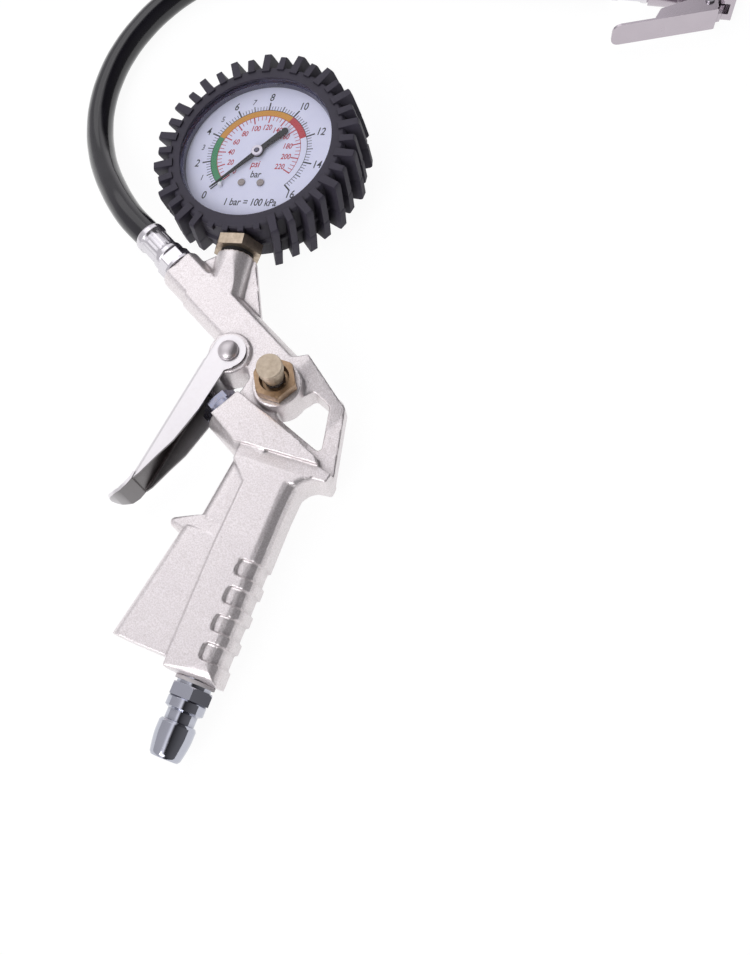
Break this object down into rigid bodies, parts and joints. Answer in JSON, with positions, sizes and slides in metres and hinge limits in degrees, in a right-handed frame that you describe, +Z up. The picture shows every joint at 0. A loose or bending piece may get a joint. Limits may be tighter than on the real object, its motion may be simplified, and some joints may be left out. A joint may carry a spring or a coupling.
{
  "type": "tyre inflator with gauge",
  "caption": "Hand-held tyre inflator: a die-cast pistol body with a squeeze trigger, a dial gauge in a black rubber tread boot, a brass bleed button, a male quick plug and a short black hose with a clip-on chuck.",
  "frame": {"origin": "centre of the underside of the gun where it lies on its side", "axes": "plus Y up along the grip towards the gauge, plus Z up out of the dial, plus X towards the back of the grip"},
  "size_m": [0.2209, 0.3313, 0.0371],
  "materials": {
    "cast": "satin die casting with a fine grain",
    "lever": "bright nickel plate on sheet steel",
    "steel": "plain steel",
    "zinc": "bluish zinc plate",
    "brass": "dull turned brass",
    "plated": "polished nickel plate",
    "rubber": "soft sealing rubber",
    "tread": "matt moulded rubber",
    "hose_rubber": "smooth glossy rubber",
    "dark_steel": "dark plated sheet",
    "clear": "clear",
    "dial": "printed face",
    "black": "matt black"
  },
  "bodies": {
    "gun": {"gun_body": "cast", "pivot_pin": "steel", "pivot_washer": "steel", "valve_bonnet": "zinc", "stem_seal": "rubber", "valve_seat": "brass", "bleed_nut": "brass", "bleed_spring": "steel", "bleed_washer": "rubber", "gauge_socket": "brass", "gauge_washer": "rubber", "gauge_case": "dark_steel", "gauge_boot": "tread", "gauge_bezel": "dark_steel", "gauge_lens": "clear", "dial_face": "dial", "dial_screws": "steel", "stop_pin": "steel", "sector_gear": "brass", "movement_frame": "brass", "bourdon_tube": "brass", "inlet_plug": "plated", "inlet_seal": "brass", "port_washer": "rubber", "hose_fitting": "plated", "gun_ferrule": "plated", "hose": "hose_rubber", "chuck_ferrule": "plated", "chuck_body": "plated", "chuck_gasket": "rubber", "chuck_depressor": "brass", "chuck_pin": "steel", "chuck_spring": "steel"},
    "trigger": {"trigger_lever": "lever"},
    "stem": {"valve_stem": "steel", "valve_disc": "brass", "disc_seal": "rubber", "valve_spring": "steel"},
    "bleed": {"bleed_button": "brass", "bleed_disc": "rubber"},
    "needle": {"pointer": "black", "pointer_hub": "steel", "pointer_spindle": "brass"},
    "clip": {"chuck_lever": "lever"}
  },
  "joints": [
    {"name": "trigger_pivot", "type": "hinge", "parent": "gun", "child": "trigger", "pos_m": [0.00577, 0.00621, 0.01307], "axis": [0, -0.0419, 0.9991], "range_deg": [0, 10.5], "stiffness_Nm_per_rad": 0.4, "springref_deg": -5.73},
    {"name": "valve_push", "type": "slide", "parent": "gun", "child": "stem", "axis": [0.8829, -0.4691, -0.0197], "range_m": [0, 0.00259]},
    {"name": "bleed_push", "type": "slide", "parent": "gun", "child": "bleed", "axis": [0, 0.0419, -0.9991], "range_m": [0, 0.002], "stiffness_N_per_m": 300, "springref_m": -0.001, "deforming": ["bleed_spring"]},
    {"name": "needle_turn", "type": "hinge", "parent": "gun", "child": "needle", "pos_m": [-0.01567, 0.08203, 0.01625], "axis": [0.1302, 0.0645, -0.9894], "range_deg": [0, 270], "stiffness_Nm_per_rad": 0.00005, "springref_deg": -28.65},
    {"name": "clip_pivot", "type": "hinge", "parent": "gun", "child": "clip", "pos_m": [0.11335, 0.19409, 0.0066], "axis": [0, 0, -1], "range_deg": [0, 18], "stiffness_Nm_per_rad": 0.1, "springref_deg": -11.46}
  ],
  "couplings": [
    {"joint": "valve_push", "follows": "trigger_pivot", "m_per_rad": 0.0138}
  ]
}
